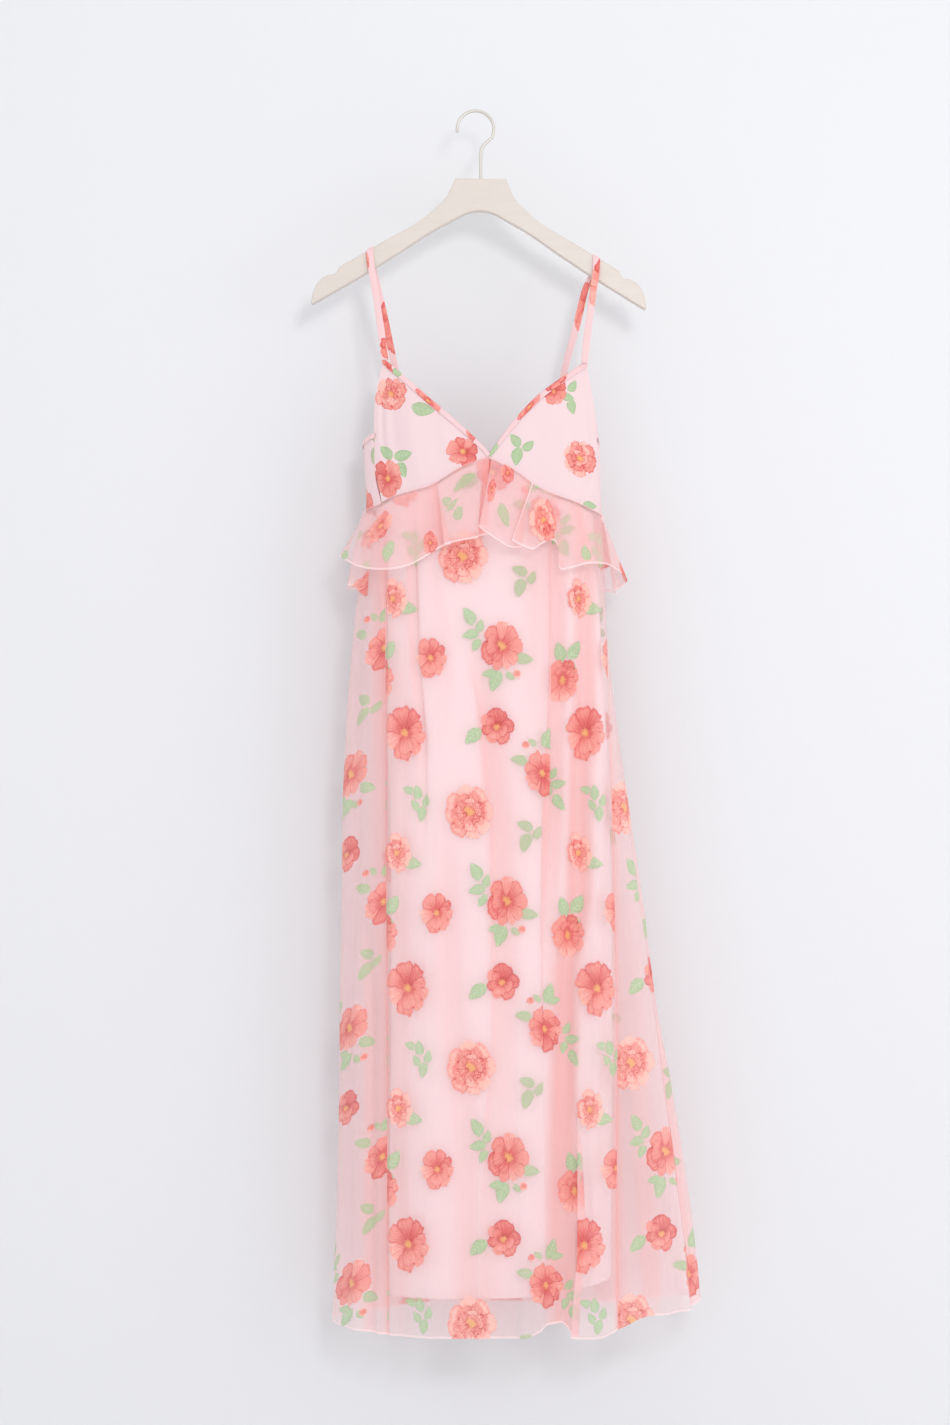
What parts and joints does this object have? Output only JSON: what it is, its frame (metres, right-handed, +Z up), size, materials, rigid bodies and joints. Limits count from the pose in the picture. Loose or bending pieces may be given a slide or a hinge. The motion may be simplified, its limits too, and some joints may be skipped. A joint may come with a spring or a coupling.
{
  "type": "maxi dress on a hanger",
  "caption": "Strappy maxi slip dress in rose-printed sheer chiffon with a V neck, empire-seam ruffle and inner slip, hanging on a painted wooden hanger.",
  "frame": {"origin": "inside top of the hanger's hook, where a rail or peg carries it", "axes": "+Z up, the dress hangs along -Z; the front of the dress faces -Y; +X is the wearer's left, the viewer's right"},
  "size_m": [0.4947, 0.141, 1.5449],
  "materials": {
    "chiffon": "sheer pale pink chiffon with a coral rose and green leaf print",
    "lining": "pale whitish pink smooth lining cloth",
    "hanger_wood": "bone-coloured satin paint on wood",
    "hook_wire": "pale bright wire"
  },
  "bodies": {
    "root": {"hanger_body": "hanger_wood", "hanger_hook": "hook_wire", "strap_right": "chiffon", "strap_left": "chiffon", "bodice_front_right": "chiffon", "bodice_front_left": "chiffon", "bodice_back": "chiffon", "neck_binding_right": "chiffon", "neck_binding_left": "chiffon", "back_binding": "chiffon", "ruffle_front_right": "chiffon", "ruffle_front_left": "chiffon", "ruffle_back": "chiffon", "skirt_front": "chiffon", "skirt_back": "chiffon", "lining_front": "lining", "lining_back": "lining"}
  },
  "joints": []
}
